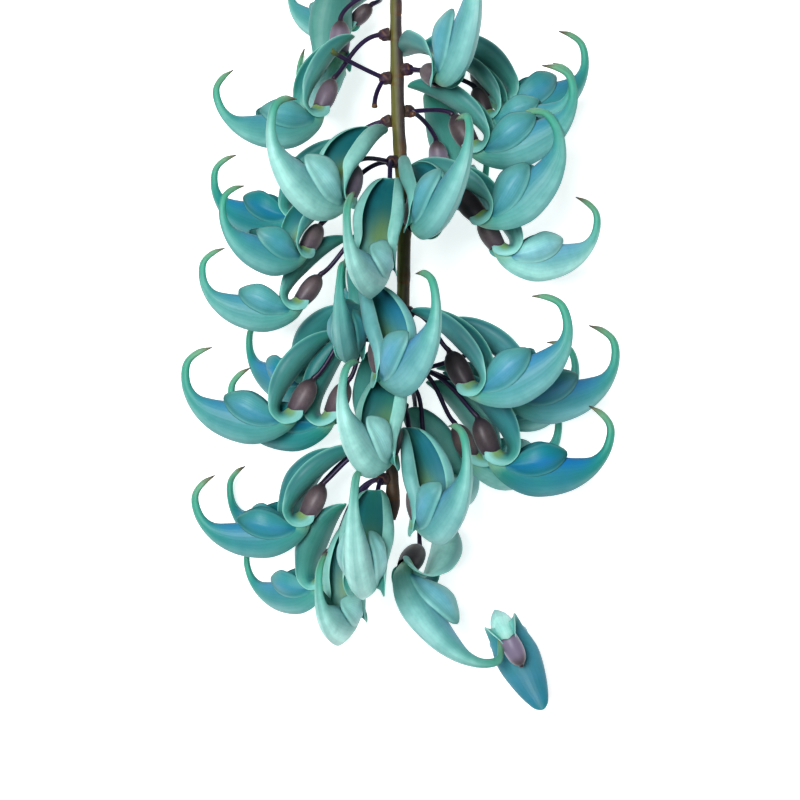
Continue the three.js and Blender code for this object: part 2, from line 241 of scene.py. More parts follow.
@dataclass
class Surface:
    """Gathers the points, faces, finishes and surface values of one mesh."""

    values: tuple[str, ...]
    points: list[Array] = field(default_factory=list)
    faces: list[tuple[int, ...]] = field(default_factory=list)
    finish_of: list[int] = field(default_factory=list)
    read: dict[str, list[Array]] = field(default_factory=dict)

    def loft(
        self, rings: Array, finish: int = 0, ends: End = End.FLAT, cap_finish: int | None = None,
        **values: Array | float,
    ) -> None:
        """Adds a body through closed rings.

        Args:
            rings: rows of ring points. With End.POINT the first and last ring are a point at their middle.
            finish: the material's number.
            ends: how the body begins and ends.
            cap_finish: the material's number on flat ends, if it is another one.
            values: a height for each ring point, or one for all.
        """
        rows, sides = rings.shape[:2]
        first = sum(len(p) for p in self.points)
        index = np.arange(rows * sides).reshape(rows, sides)
        tips = (rows * sides, rows * sides + 1)
        if ends is End.POINT:
            index[0], index[-1] = tips
        beside = np.roll(index, -1, axis=1)
        corners = np.stack([index[:-1], beside[:-1], beside[1:], index[1:]], axis=2).reshape(-1, 4)
        faces = [tuple(dict.fromkeys(face)) for face in corners.tolist()]
        body = len(faces)
        if ends is End.FLAT:
            faces += [(tips[0], b, a) for a, b in zip(index[0].tolist(), beside[0].tolist())]
            faces += [(tips[1], a, b) for a, b in zip(index[-1].tolist(), beside[-1].tolist())]
        whole = np.concatenate([rings.reshape(-1, 3), rings[[0, -1]].mean(axis=1)])
        fans = [(f[0], f[k], f[k + 1]) for f in faces for k in range(1, len(f) - 1)]
        a, b, c = (whole[[fan[k] for fan in fans]] for k in range(3))
        if float(np.einsum("ij,ij->i", a - whole[0], np.cross(b - whole[0], c - whole[0])).sum()) < 0:
            faces = [face[::-1] for face in faces]
        used = sorted({k for face in faces for k in face})
        place = {old: first + new for new, old in enumerate(used)}
        self.points.append(whole[used])
        self.faces += [tuple(place[k] for k in face) for face in faces]
        cap = finish if cap_finish is None else cap_finish
        self.finish_of += [finish] * body + [cap] * (len(faces) - body)
        for name in self.values:
            given = np.broadcast_to(np.asarray(values.get(name, 0.0), float), (rows, sides))
            everywhere = np.concatenate([given.reshape(-1), given[[0, -1]].mean(axis=1)])
            self.read.setdefault(name, []).append(everywhere[used])

    def piece(self, name: str, materials: list[Material], node: str, slot: Slot) -> None:
        """Makes the mesh, in metres, hides the model's part that it replaces and attaches it to the root
        body.

        What would sink in the surface below lies flat on it.

        Args:
            name: the piece's name.
            materials: its materials, in the order of their numbers.
            node: the node that it replaces.
            slot: not used.
        """
        points = np.concatenate(self.points) - CENTRE
        points[:, 2] = np.maximum(points[:, 2], 0.0)
        mesh = bpy.data.meshes.new(name)
        mesh.from_pydata((points * MM).tolist(), [], self.faces)
        mesh.polygons.foreach_set("material_index", self.finish_of)
        mesh.polygons.foreach_set("use_smooth", [True] * len(mesh.polygons))
        for value, parts in self.read.items():
            layer = mesh.attributes.new(value, "FLOAT", "POINT")
            layer.data.foreach_set("value", np.concatenate(parts).astype(np.float32))
        for material in materials:
            mesh.materials.append(material)
        mesh.validate()
        mesh.update()
        made = placed(name, mesh)
        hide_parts(node)
        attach(made, "root")
        LOG.info("%s: %d faces", name, len(mesh.polygons))


def add(
    tree: Tree, kind: str, settings: dict[str, object] | None = None,
    values: dict[str | int, object] | None = None, links: dict[str | int, Socket] | None = None,
) -> bpy.types.Node:
    """Adds a node with its settings and links.

    Args:
        tree: the material's node tree.
        kind: the node's type.
        settings: its properties. The key stops sets a colour ramp's places and hex colours.
        values: what its unlinked inputs hold, by name or number.
        links: what its inputs are linked to, by name or number.

    Returns:
        The new node.
    """
    node = tree.nodes.new(kind)
    for name, value in (settings or {}).items():
        if name == "stops":
            elements = node.color_ramp.elements
            while len(elements) < len(value):
                elements.new(1.0)
            for element, (place, colour) in zip(elements, value):
                element.position, element.color = place, linear(colour)
        else:
            setattr(node, name, value)
    for name, value in (values or {}).items():
        node.inputs[name].default_value = value
    for name, socket in (links or {}).items():
        tree.links.new(socket, node.inputs[name])
    return node


@dataclass(frozen=True)
class Patches:
    """A natural pattern: its patches' length along each axis, and its finer layers and their strength."""

    size_mm: Point
    detail: float
    rough: float = 0.5

    def height(self, tree: Tree) -> Socket:
        """Adds the pattern's nodes.

        Args:
            tree: the material's node tree.

        Returns:
            The pattern's height.
        """
        where = add(tree, "ShaderNodeTexCoord").outputs["Object"]
        scale = {"Scale": [1 / (size * MM) for size in self.size_mm]}
        mapped = add(tree, "ShaderNodeMapping", values=scale, links={"Vector": where}).outputs["Vector"]
        layers = {"Scale": 1.0, "Detail": self.detail, "Roughness": self.rough}
        return add(tree, "ShaderNodeTexNoise", values=layers, links={"Vector": mapped}).outputs["Fac"]


@dataclass(frozen=True)
class Coat:
    """One of a finish's colours over the rest: none where a value begins, and the most where it is full."""

    colour: str
    over: str
    begins: float = 0.0
    full: float = 1.0
    most: float = 1.0


@dataclass(frozen=True)
class Finish:
    """What every material of the spray shares: a shader with a few even values, whose nodes draw the rest.

    The colour runs through stops over one of the values that the mesh carries, and coats lie over it. The
    relief follows a height, and the gloss varies a little round the roughness if it follows anything.
    """

    name: str
    roughness: float
    ior: float = 1.45
    even: Even = ()
    carried: tuple[str, ...] = ()
    stops: Stops = ()
    coats: tuple[Coat, ...] = ()
    height: str = ""
    relief: float = 0.5
    relief_mm: float = 0.1
    gloss: str = ""
    glossier: float = 0.08
    duller: float = 0.12

    def material(self) -> Material:
        """Makes the material.

        Returns:
            The material, with all its nodes.
        """
        made = bpy.data.materials.new(self.name)
        made.use_nodes = True
        tree = made.node_tree
        tree.nodes.clear()
        even = {"Roughness": self.roughness, "IOR": self.ior, **dict(self.even)}
        links = self.draw(tree) if self.stops else {}
        shader = add(tree, "ShaderNodeBsdfPrincipled", values=even, links=links)
        add(tree, "ShaderNodeOutputMaterial", links={"Surface": shader.outputs["BSDF"]})
        return made

    def draw(self, tree: Tree) -> dict[str, Socket]:
        """Adds the nodes of the colour, the relief and the gloss.

        Args:
            tree: the material's node tree.

        Returns:
            What the shader's inputs are linked to, by name.
        """
        read = {}
        for name in self.carried:
            read[name] = add(tree, "ShaderNodeAttribute", {"attribute_name": name}).outputs["Fac"]
        self.grow(tree, read)
        links = {"Fac": read[self.carried[0]]}
        colour = add(tree, "ShaderNodeValToRGB", {"stops": self.stops}, links=links).outputs["Color"]
        for coat in self.coats:
            reach = {"From Min": coat.begins, "From Max": coat.full, "To Max": coat.most}
            share = add(tree, "ShaderNodeMapRange", values=reach, links={"Value": read[coat.over]})
            links = {MixSocket.SHARE: share.outputs["Result"], MixSocket.BELOW: colour}
            above = {MixSocket.ABOVE: linear(getattr(self, coat.colour))}
            mixed = add(tree, "ShaderNodeMix", {"data_type": "RGBA"}, above, links)
            colour = mixed.outputs[MixSocket.MIXED]
        depth = {"Strength": self.relief, "Distance": self.relief_mm * MM}
        bump = add(tree, "ShaderNodeBump", values=depth, links={"Height": read[self.height]})
        drawn = {"Base Color": colour, "Normal": bump.outputs["Normal"]}
        if self.gloss:
            reach = {"To Min": self.roughness - self.glossier, "To Max": self.roughness + self.duller}
            uneven = add(tree, "ShaderNodeMapRange", values=reach, links={"Value": read[self.gloss]})
            drawn["Roughness"] = uneven.outputs["Result"]
        return drawn

    def grow(self, tree: Tree, read: dict[str, Socket]) -> None:
        """Adds the finish's own patterns.

        Args:
            tree: the material's node tree.
            read: what is read so far, by name, to which the patterns are added.
        """


@dataclass(frozen=True)
class PetalSkin(Finish):
    """Living petal tissue of the jade vine: thin, watery and waxy.

    Its wax gives a soft broad shine, and its cell sap lets some light through. The colour runs from cream
    green at the base through jade to blue, and blue, pale and deep green areas are laid over it by the
    values on the mesh. The deep green is mostly painted shade in creases, grooves, hollows and at edges,
    and partly the banner's own deep teal in its hood; the pale holds each flower's own paleness and painted
    highlights; the rim colour is a painted line along the margins, of shade on the wings and of light on
    the banner. Its faint lengthwise veins wander a little and lie about 1.2 mm apart. Its cells are a tenth
    of that and too fine to show, so they are drawn 0.55 mm wide.
    """

    even: Even = (
        ("Subsurface Weight", 0.15),
        ("Subsurface Radius", (0.5, 1.0, 0.9)),
        ("Subsurface Scale", 1.2 * MM),
        ("Sheen Weight", 0.04),
        ("Sheen Roughness", 0.5),
    )
    carried: tuple[str, ...] = ("along", "across", "blue", "pale", "deep", "rim", "fresh")
    coats: tuple[Coat, ...] = (
        Coat("blue", "blue"),
        Coat("pale", "pale"),
        Coat("deep", "deep"),
        Coat("fresh", "fresh"),
        Coat("deep", "vein", 0.2, 1.0, 0.05),
        Coat("rim", "rim"),
    )
    height: str = "relief"
    relief_mm: float = 0.03
    gloss: str = "cells"
    glossier: float = 0.06
    duller: float = 0.1
    blue: str = "#1B80C0"
    pale: str = "#C2FBF1"
    # The deep colour: painted shade in creases, grooves, hollows and at edges, part of the hood's own deep
    # teal, and the veins
    deep: str = "#034852"
    # The rim colour: a painted dark line of shade along the wings' margins
    rim: str = "#1B666E"
    fresh: str = "#97AC44"
    mottle_mm: float = 9.0
    cell_mm: float = 0.55
    drift: float = 0.1
    patchy: tuple[float, float] = (0.72, 1.18)
    veins: float = 11.0
    vein_wander: float = 5.0
    grain: float = 0.35

    def grow(self, tree: Tree, read: dict[str, Socket]) -> None:
        """Lets the colours drift and grow patchy, and adds the veins and the cells.

        Args:
            tree: the material's node tree.
            read: what is read so far, by name, to which the patterns are added.
        """
        cloud = Patches((self.mottle_mm,) * 3, 3.0, 0.6).height(tree)
        read["cells"] = Patches((self.cell_mm,) * 3, 1.5).height(tree)
        multiply, multiply_add = {"operation": "MULTIPLY"}, {"operation": "MULTIPLY_ADD"}
        drift = add(tree, "ShaderNodeMath", multiply_add, {1: self.drift, 2: -self.drift / 2}, {0: cloud})
        links = {0: read["along"], 1: drift.outputs[0]}
        moved = add(tree, "ShaderNodeMath", {"operation": "ADD", "use_clamp": True}, links=links)
        read["along"] = moved.outputs[0]
        reach = {"From Min": 0.3, "From Max": 0.7, "To Min": self.patchy[0], "To Max": self.patchy[1]}
        patchy = add(tree, "ShaderNodeMapRange", values=reach, links={"Value": cloud}).outputs["Result"]
        for name in ("blue", "pale", "deep", "fresh"):
            read[name] = add(tree, "ShaderNodeMath", multiply, links={0: read[name], 1: patchy}).outputs[0]
        wander = add(tree, "ShaderNodeMath", multiply, {1: self.vein_wander}, {0: cloud}).outputs[0]
        links = {0: read["across"], 2: wander}
        stripe = add(tree, "ShaderNodeMath", multiply_add, {1: self.veins * math.tau}, links).outputs[0]
        vein = add(tree, "ShaderNodeMath", {"operation": "SINE"}, links={0: stripe}).outputs[0]
        relief = add(tree, "ShaderNodeMath", multiply_add, {1: self.grain}, {0: read["cells"], 2: vein})
        read["vein"], read["relief"] = vein, relief.outputs[0]


@dataclass(frozen=True)
class StalkSkin(Finish):
    """Young plant skin over wood: satin on a pedicel, dull and furrowed on the rachis.

    Fine lengthwise furrows and dark stains break up its shine, and scars of fallen flowers are corky brown.
    """

    carried: tuple[str, ...] = ("along", "scar", "fresh")
    coats: tuple[Coat, ...] = (
        Coat("stain", "stains", 0.45, 0.75, 0.7),
        Coat("fresh", "fresh"),
        Coat("scar", "scar"),
    )
    height: str = "furrows"
    relief: float = 0.7
    relief_mm: float = 0.12
    gloss: str = "stains"
    scar: str = "#7A5530"
    fresh: str = "#7F9A3C"
    stain: str = "#1C1426"
    mottle_mm: float = 4.0
    furrow_mm: Point = (0.5, 9.0, 0.5)

    def grow(self, tree: Tree, read: dict[str, Socket]) -> None:
        """Adds the stains and the furrows to what is read."""
        read["stains"] = Patches((self.mottle_mm,) * 3, 4.0, 0.65).height(tree)
        read["furrows"] = Patches(self.furrow_mm, 2.0).height(tree)


@dataclass(frozen=True)
class CalyxSkin(Finish):
    """A calyx's thick leathery skin with a short down: dusky purple-brown with a soft grazing bloom.

    The hairs of the down are too fine to show, so it is drawn in specks of 0.3 mm.
    """

    even: Even = (("Sheen Weight", 0.25), ("Sheen Roughness", 0.4))
    carried: tuple[str, ...] = ("along", "blush", "dusk")
    coats: tuple[Coat, ...] = (
        Coat("dusk", "clouds", 0.35, 0.75, 0.45),
        Coat("blush", "down", 0.52, 0.8, 0.4),
        Coat("blush", "blush"),
        Coat("dusk", "dusk"),
    # The dusk value is partly painted shade inside the cup and at its mouth
    )
    height: str = "down"
    relief: float = 0.6
    relief_mm: float = 0.06
    blush: str = "#857A90"
    dusk: str = "#2E2832"
    mottle_mm: float = 3.5
    down_mm: float = 0.3

    def grow(self, tree: Tree, read: dict[str, Socket]) -> None:
        """Adds the clouded skin and the speckled down to what is read."""
        read["clouds"] = Patches((self.mottle_mm,) * 3, 3.0, 0.6).height(tree)
        read["down"] = Patches((self.down_mm,) * 3, 3.0, 0.6).height(tree)


@dataclass(frozen=True)
class CutStem(Finish):
    """A fresh knife cut across the rachis: wet pale pith inside a green rind, with the ends of its fibres.

    The fibres are 0.2 mm thick and too fine to show, so their ends are drawn 0.5 mm wide.
    """

    carried: tuple[str, ...] = ("across",)
    stops: Stops = ((0.0, "#D9D6A8"), (0.55, "#D9D6A8"), (0.8, "#7C7B3A"), (1.0, "#7C7B3A"))
    coats: tuple[Coat, ...] = (Coat("rind", "fibres", 0.5, 0.8, 0.6),)
    height: str = "fibres"
    rind: str = "#7C7B3A"
    fibre_mm: float = 0.5

    def grow(self, tree: Tree, read: dict[str, Socket]) -> None:
        """Adds the ends of the fibres to what is read."""
        read["fibres"] = Patches((self.fibre_mm,) * 3, 2.0).height(tree)


@dataclass(frozen=True)
class OpalSheet(Finish):
    """The studio's light table: a sheet of opal acrylic lit weakly from below, which softens the shadows."""

    even: Even = (("Base Color", linear("#F6F6F5")), ("Emission Strength", 0.58))


KEEL_SKIN = PetalSkin(
    name="jade_keel_petal",
    roughness=0.46,
    stops=(
        (0.0, "#CFDDB0"), (0.07, "#9ACBA9"), (0.17, "#3A9A8D"), (0.45, "#2A8A88"), (0.66, "#28958C"),
        (0.82, "#48AA90"), (0.93, "#78AC88"), (0.975, "#756C54"), (1.0, "#3E312C"),
    ),
)
WING_SKIN = PetalSkin(
    name="jade_wing_petal",
    roughness=0.46,
    stops=((0.0, "#55B092"), (0.2, "#1F8F85"), (0.6, "#1B8E8B"), (0.9, "#147C75"), (1.0, "#0A6E66")),
    veins=7.0,
)
BANNER_SKIN = PetalSkin(
    name="jade_banner_petal",
    roughness=0.48,
    stops=(
        (0.0, "#86C2BC"), (0.1, "#66B4B0"), (0.22, "#3F9A8E"), (0.4, "#338679"), (0.75, "#308074"),
        (1.0, "#409276"),
    ),
    # The banner's deep colour: painted shade round its fold and margins, and part of its hood's own deep
    # teal
    deep="#05656F",
    # The banner's rim colour: a pale line along its margins, painted light where the thin edge lets light
    # through
    rim="#98DACB",
    veins=6.0,
)
CALYX_SKIN = CalyxSkin(
    name="calyx_downy_skin",
    roughness=0.45,
    stops=((0.0, "#352A2E"), (0.15, "#544649"), (0.5, "#736461"), (0.85, "#66575A"), (1.0, "#4E3E48")),
)
PEDICEL_SKIN = StalkSkin(
    name="pedicel_violet_skin",
    roughness=0.38,
    stops=((0.0, "#4A3550"), (0.15, "#33224A"), (0.8, "#2F2044"), (1.0, "#3C2C42")),
    stain="#1B1126",
)
KNOB_SKIN = StalkSkin(
    name="knob_corky_skin",
    roughness=0.55,
    stops=((0.0, "#5A4A3C"), (0.6, "#4A3246"), (1.0, "#3A2440")),
    stain="#2A1B22",
    mottle_mm=1.6,
    relief_mm=0.25,
)
RACHIS_SKIN = StalkSkin(
    name="rachis_green_bark",
    roughness=0.5,
    stops=(
        (0.0, "#544A50"), (0.3, "#524846"), (0.5, "#565039"), (0.66, "#544B3D"), (0.8, "#564A40"),
        (1.0, "#4E4036"),
    ),
    fresh="#6F7132",
    scar="#6E4A22",
    stain="#3A3038",
    mottle_mm=5.0,
    relief_mm=0.18,
)
CUT_STEM = CutStem(name="rachis_fresh_cut", roughness=0.35)
TABLE_SHEET = OpalSheet(name="table_opal_sheet", roughness=0.9)


@dataclass(frozen=True)
class Bloom:
    """Where one flower sits and how it is turned, closed and coloured.

    Its at is the calyx mouth: across, along, and above the rachis. Angles are in degrees: turn is the side
    it hangs on (0 right, 90 up, 180 left, 270 down), droop the calyx's angle from the hanging line, lift
    how much further the keel and wings close on the banner, lean a turn about the vertical, clockwise from
    above, and bend the banner's own turn towards the calyx. Blue and pale are shares of each tint, blush is
    the calyx's, from dark at -1 to lilac at 1, roll is how far the banner's margins roll in, hood how deep
    the blue of its hollow is, partly its own colour and partly painted shade inside the hood, crown how
    pale its back is, and fresh how yellow its root is.
    """

    number: int
    bunch: str
    at: Point
    turn: float
    droop: float
    size: float
    lift: float = 0.0
    bend: float = 0.0
    lean: float = 0.0
    blue: float = 0.3
    pale: float = 0.2
    blush: float = 0.1
    roll: float = 0.5
    hood: float = 0.6
    crown: float = 0.0
    fresh: float = 1.0

    @property
    def label(self) -> str:
        """The flower's number as its nodes have it."""
        return f"{self.number:02d}"

    def axes(self) -> tuple[Array, Array, Array, Array]:
        """Works out where the flower stands.

        Returns:
            The calyx mouth, and the directions U, out of the calyx, V, to the banner, and W, across both.
        """
        out = sideways(self.turn)
        angle = math.radians(self.droop)
        u = turned(out * math.sin(angle) + HANGING * math.cos(angle), -self.lean)
        v = turned(out * math.cos(angle) - HANGING * math.sin(angle), -self.lean)
        mouth = np.array(self.at) + UP * AXIS_HEIGHT
        return mouth, u, v, np.cross(u, v)

    def put(self, local: Array, closing: Array | float = 0.0) -> Array:
        """Brings points of the flower's own plane into the spray.

        Args:
            local: points as U, V and W in the last axis, at size 1.
            closing: degrees that they turn towards the banner.

        Returns:
            The points in the spray.
        """
        mouth, u, v, w = self.axes()
        angle = np.radians(np.broadcast_to(closing, local.shape[:-1]))
        along = local[..., 0] * np.cos(angle) - local[..., 1] * np.sin(angle)
        outward = local[..., 0] * np.sin(angle) + local[..., 1] * np.cos(angle)
        steps = along[..., None] * u + outward[..., None] * v + local[..., 2:3] * w
        return mouth + steps * self.size


BLOOMS = (
    Bloom(1, "a", (-24, 198, -38), 200, 50, 0.72, lift=-8, blue=0.1, pale=0.35),
    Bloom(2, "a", (-31, 177, -16.5), 245, 6, 0.95, blue=0.1, pale=0.3, blush=0.7),
    Bloom(3, "b", (-39, 145, 8), 160, 24, 0.9, lift=-13, blue=0.15, pale=0.3, blush=0.4),
    Bloom(5, "g", (-26, 97, 33), 128, 24, 1.05, lift=18, bend=15, blue=0.15, pale=0.8, blush=0.5, roll=0.9),
    Bloom(6, "f", (-48, 97, -12), 195, 30, 0.9, bend=2, blue=0.35, pale=0.0),
    Bloom(7, "g", (-46, 74, 16), 144, 34, 0.86, lift=-3, bend=4, pale=0.25),
    Bloom(8, "j", (-49, 50, 0), 174, 36, 0.88, lift=-10, blue=0.25, pale=0.3),
    Bloom(9, "j", (-15, 50, -20), 250, 30, 0.85, bend=-12, pale=0.0),
    Bloom(10, "g", (-8, 66, 38), 106, 20, 1.0, lift=4, blue=0.35, pale=0.75, roll=1.0, hood=0.8),
    Bloom(11, "l", (-52, -5, 0), 180, 29, 1.0, bend=-2, blue=0.4),
    Bloom(12, "l", (-34, -6, -10), 197, 27, 0.96, lift=-8, bend=-8, blue=0.35, pale=0.0),
    Bloom(13, "m", (-23, 24, 20), 98, 60, 0.85, lift=-5, bend=-10, blue=0.25),
    Bloom(14, "s", (-43, 14, -32), 222, 30, 0.95, bend=6, blue=0.5, pale=0.0),
    Bloom(15, "m", (-6, -26, 40), 115, 28, 1.0, lift=20, bend=-8, blue=0.1, pale=0.85, roll=0.9, hood=0.3),
    Bloom(16, "s", (-13, -14, -4), 268, 18, 0.88, bend=-12, pale=0.1),
    Bloom(17, "p", (-46, -57, 2), 180, 27, 0.96, lift=-12, bend=10, blue=0.4, pale=0.1),
    Bloom(18, "p", (-48, -60, -26), 217, 27, 0.95, lift=-5, bend=6, blue=0.5, pale=0.0),
    Bloom(19, "q", (-38, -89, -8), 215, 18, 0.88, lift=-5, pale=0.15),
    Bloom(20, "q", (-15, -86, 36), 98, 34, 1.05, lift=26, bend=-8, blue=0.15, pale=0.75, roll=0.9, hood=0.4),
    Bloom(21, "q", (-23, -102, 2), 106, 16, 0.98, lift=12, bend=-10, blue=0.1, pale=0.8, roll=0.9, hood=0.4),
    Bloom(22, "c", (47, 156, -20), 343, 36, 0.98, bend=15, blue=0.35, pale=0.15),
    Bloom(23, "c", (19, 155, 30), 65, 68, 1.0, bend=-4, blue=0.45, pale=0.4),
    Bloom(24, "c", (43, 145, -4), 18, 25, 0.78, bend=8, blue=0.15, pale=0.3, blush=-0.5),
    Bloom(25, "e", (34.5, 126, 12), 15, 31, 0.98, lift=7, bend=14, pale=0.25, blush=-0.4),
    Bloom(26, "h", (8, 84, 34), 68, 54, 1.02, lift=5, bend=-8, lean=12, blue=0.35, pale=0.35, roll=0.9),
    Bloom(27, "h", (38.5, 90.5, 13), 24, 41, 1.0, lift=18, bend=14, pale=0.3, blush=-0.7),
    Bloom(28, "e", (21, 118, -22.8), 300, 20, 0.9, blue=0.1, pale=0.1, blush=0.7),
    Bloom(29, "h", (49, 78, -10), 350, 32, 0.93, lift=-8, bend=8, blue=0.7, pale=0.8),
    Bloom(30, "k", (-8, 13, 40), 62, 22, 1.06, lift=24, bend=2, blue=0.7, pale=0.35, roll=1.0, hood=0.2),
    Bloom(31, "k", (32, 8, 20), 18, 28, 1.02, lift=16, bend=8, blue=0.6, pale=0.25, blush=-0.6),
    Bloom(32, "n", (53, 5.5, -14), 355, 28, 1.04, lift=1, bend=12, blue=0.65),
    Bloom(33, "n", (46, -26, -8), 356, 22, 1.05, lift=-5, bend=8, blue=0.65, pale=0.0, blush=-0.5),
    Bloom(34, "o", (10, -57, 36), 66, 22, 1.04, lift=26, bend=-3, blue=0.55, pale=0.4, roll=1.0, hood=0.35),
    Bloom(35, "n", (36, -28, -27), 328, 30, 1.02, lift=-6, bend=4, blue=0.1, pale=0.5, blush=-0.1),
    Bloom(
        36, "r", (3.5, -86, -23.4), 304, -90, 1.12,
        lift=-8, lean=-53, blue=0.5, pale=0.5, blush=-0.4, crown=0.4,
    ),
    Bloom(
        37, "", (55, -121, -18.6), 90, 180, 0.95,
        lift=40, bend=-6, lean=-26, blue=0.9, pale=0.4, blush=1.0, crown=-0.14, fresh=0.0,
    ),
    Bloom(38, "r", (21, -38, -19.5), 292, 16, 0.88, lift=-5, lean=-22, blue=0.2, pale=0.3, blush=-0.3),
    Bloom(39, "n", (50, -7, -34), 350, 46, 0.88, bend=6, pale=0.4),
)


@dataclass
class Corolla:
    """The petals of one flower: keel, two wings and banner, in the flower's own plane at size 1.

    Keel stations hold its outer curve, its inner curve and its width. Wing stations hold its low margin,
    middle and high margin, and banner stations its fold, its margin and its width. Places along and across
    a petal are shares of it, from its root and from its fold or back.
    """

    bloom: Bloom
    surface: Surface = field(default_factory=lambda: Surface(PetalSkin.carried))
    keel_rings: int = 64
    keel_sides: int = 36
    wing_rows: int = 30
    wing_columns: int = 19
    banner_rows: int = 56
    banner_columns: int = 27
    blade_thick: float = 1.1
    margin_thick: float = 0.35
    keel_fullness: float = 0.62
    ridge_bluntness: float = 0.19
    seam_depth: float = 0.05
    groove_depth: float = 0.25
    lip_height: float = 0.1
    crease_height: float = 0.7
    fold_bend: float = 62.0
    margin_turn: float = 135.0
    keel: tuple[tuple[float, ...], ...] = (
        (-4.5, -2.4, -4.5, 2.3, 5.0), (0.3, -3.4, 0.3, 3.3, 6.8), (7.0, -3.0, 4.5, 5.0, 8.8),
        (16.5, 1.2, 6.5, 13.0, 11.6), (25.5, 10.5, 9.0, 21.5, 12.2), (29.3, 22.5, 11.5, 30.5, 11.0),
        (29.2, 35.0, 14.8, 39.0, 8.8), (25.0, 46.5, 16.5, 46.5, 6.0), (16.5, 56.3, 13.2, 53.0, 3.8),
        (5.0, 60.8, 4.4, 57.2, 3.2), (-2.9, 57.6, -1.8, 54.8, 2.3), (-7.2, 52.1, -6.9, 51.7, 0.7),
    )
    wing: tuple[tuple[float, ...], ...] = (
        (6.0, 0.5, 2.2, 6.0, 0.5, 2.2, 6.0, 0.5, 2.2),
        (11.2, 4.4, 5.0, 8.6, 6.6, 6.2, 5.8, 8.6, 5.4),
        (15.2, 10.0, 5.6, 9.8, 12.2, 8.4, 3.8, 14.0, 7.2),
        (17.4, 16.4, 6.2, 10.4, 18.6, 10.0, 2.6, 19.8, 8.6),
        (17.6, 22.8, 6.4, 10.5, 24.4, 9.6, 2.9, 25.2, 8.3),
        (16.6, 27.8, 5.8, 11.0, 29.0, 8.0, 5.2, 29.4, 7.0),
        (15.0, 31.0, 4.8, 11.3, 32.0, 6.2, 7.6, 32.2, 6.0),
        (13.4, 33.0, 4.3, 11.4, 33.7, 4.9, 9.4, 33.8, 4.8),
        (11.4, 34.5, 4.2, 11.4, 34.5, 4.2, 11.4, 34.5, 4.2),
    )
    banner: tuple[tuple[float, ...], ...] = (
        (-3.0, 3.1, -3.0, -2.6, 7.4), (0.8, 3.9, 0.9, -4.4, 9.2), (3.6, 4.9, 5.6, -2.4, 13.6),
        (4.6, 6.5, 8.8, 3.0, 17.0), (2.8, 8.3, 7.2, 9.6, 18.6), (-3.2, 9.0, -1.8, 15.6, 19.6),
        (-15.5, 7.5, -16.5, 17.6, 24.0), (-29.0, 4.8, -31.4, 13.4, 19.0), (-38.4, 1.7, -40.2, 6.8, 12.0),
        (-43.2, -0.5, -43.9, 1.5, 6.2), (-44.8, -1.2, -44.8, -1.2, 0.5),
    )

    def add_keel(self) -> None:
        """Adds the claw: a ridge along its back, two full sides, and a seam where they meet in front."""
        rows = smooth_curve(self.keel, self.keel_rings)
        angle = ring_angles(self.keel_sides)
        across = (1 - np.cos(angle)) / 2
        half = self.keel_fullness * np.sin(angle) * np.sqrt(across / (across + self.ridge_bluntness))
        across = across - self.seam_depth * hump(angle, math.pi, 0.2)
        back, front, wide = rows[:, None, 0:2], rows[:, None, 2:4], rows[:, None, 4]
        plane = back + (front - back) * across[:, None]
        local = np.concatenate([plane, (half * wide)[..., None]], axis=2)
        along = row_places(self.keel_rings, self.keel_sides)
        tint = self.bloom
        root = (1 - tint.fresh) * ramp(along, 0.3, 0.15)
        blue = (0.2 + 0.75 * tint.blue) * ramp(across, 0.4, 0.95) * band(along, 0.1, 0.24, 0.5, 0.75)
        blue = blue + 0.35 * tint.blue * band(along, 0.12, 0.3, 0.45, 0.7) + 0.3 * root
        # pale: each flower's own paleness, a paler root where fresh is low, and a painted highlight streak
        # along the belly
        pale = tint.pale * band(along, 0.05, 0.2, 0.6, 0.9) * (0.45 + 0.55 * ramp(across, 0.55, 0.1))
        pale = pale + 0.14 * ramp(across, 0.38, 0.1) * band(along, 0.2, 0.4, 0.6, 0.85) + 0.8 * root
        # deep: painted shade in the seam groove along the front and along the back edge, where the keel
        # turns from the light
        deep = (0.35 * hump(across, 1.0, 0.07) + 0.3 * ramp(across, 0.16, 0.0)) * ramp(along, 0.2, 0.35)
        self.surface.loft(
            self.bloom.put(local, self.bloom.lift * ramp(along, 0.03, 0.14)), Petal.KEEL,
            along=along, across=across * 0.9, blue=blue, pale=pale, deep=deep,
        )

    def add_blade(self, middle: Array, place: Array, petal: Petal, closing: float, **values: Array) -> None:
        """Adds a petal blade from its middle surface, thick in the middle and thin at its margins.

        Args:
            middle: rows of points across the blade. The first and last row are its two ends.
            place: each column's place across, from -1 to 1.
            petal: the one that it belongs to.
            closing: degrees that it turns towards the banner.
            values: a height for each point, or two of them, for its two faces.
        """
        thick = (self.margin_thick + (self.blade_thick - self.margin_thick) * (1 - place**4)) / 2
        swell = blade_normals(middle) * thick[:, None]
        rings = np.concatenate([middle + swell, (middle - swell)[:, ::-1]], axis=1)
        rings[0], rings[-1] = middle[0, 0], middle[-1, 0]
        faces = {name: np.broadcast_to(v, (2, *middle.shape[:2])) for name, v in values.items()}
        read = {name: np.concatenate([v[0], v[1][:, ::-1]], axis=1) for name, v in faces.items()}
        self.surface.loft(self.bloom.put(rings, closing), petal, End.POINT, **read)

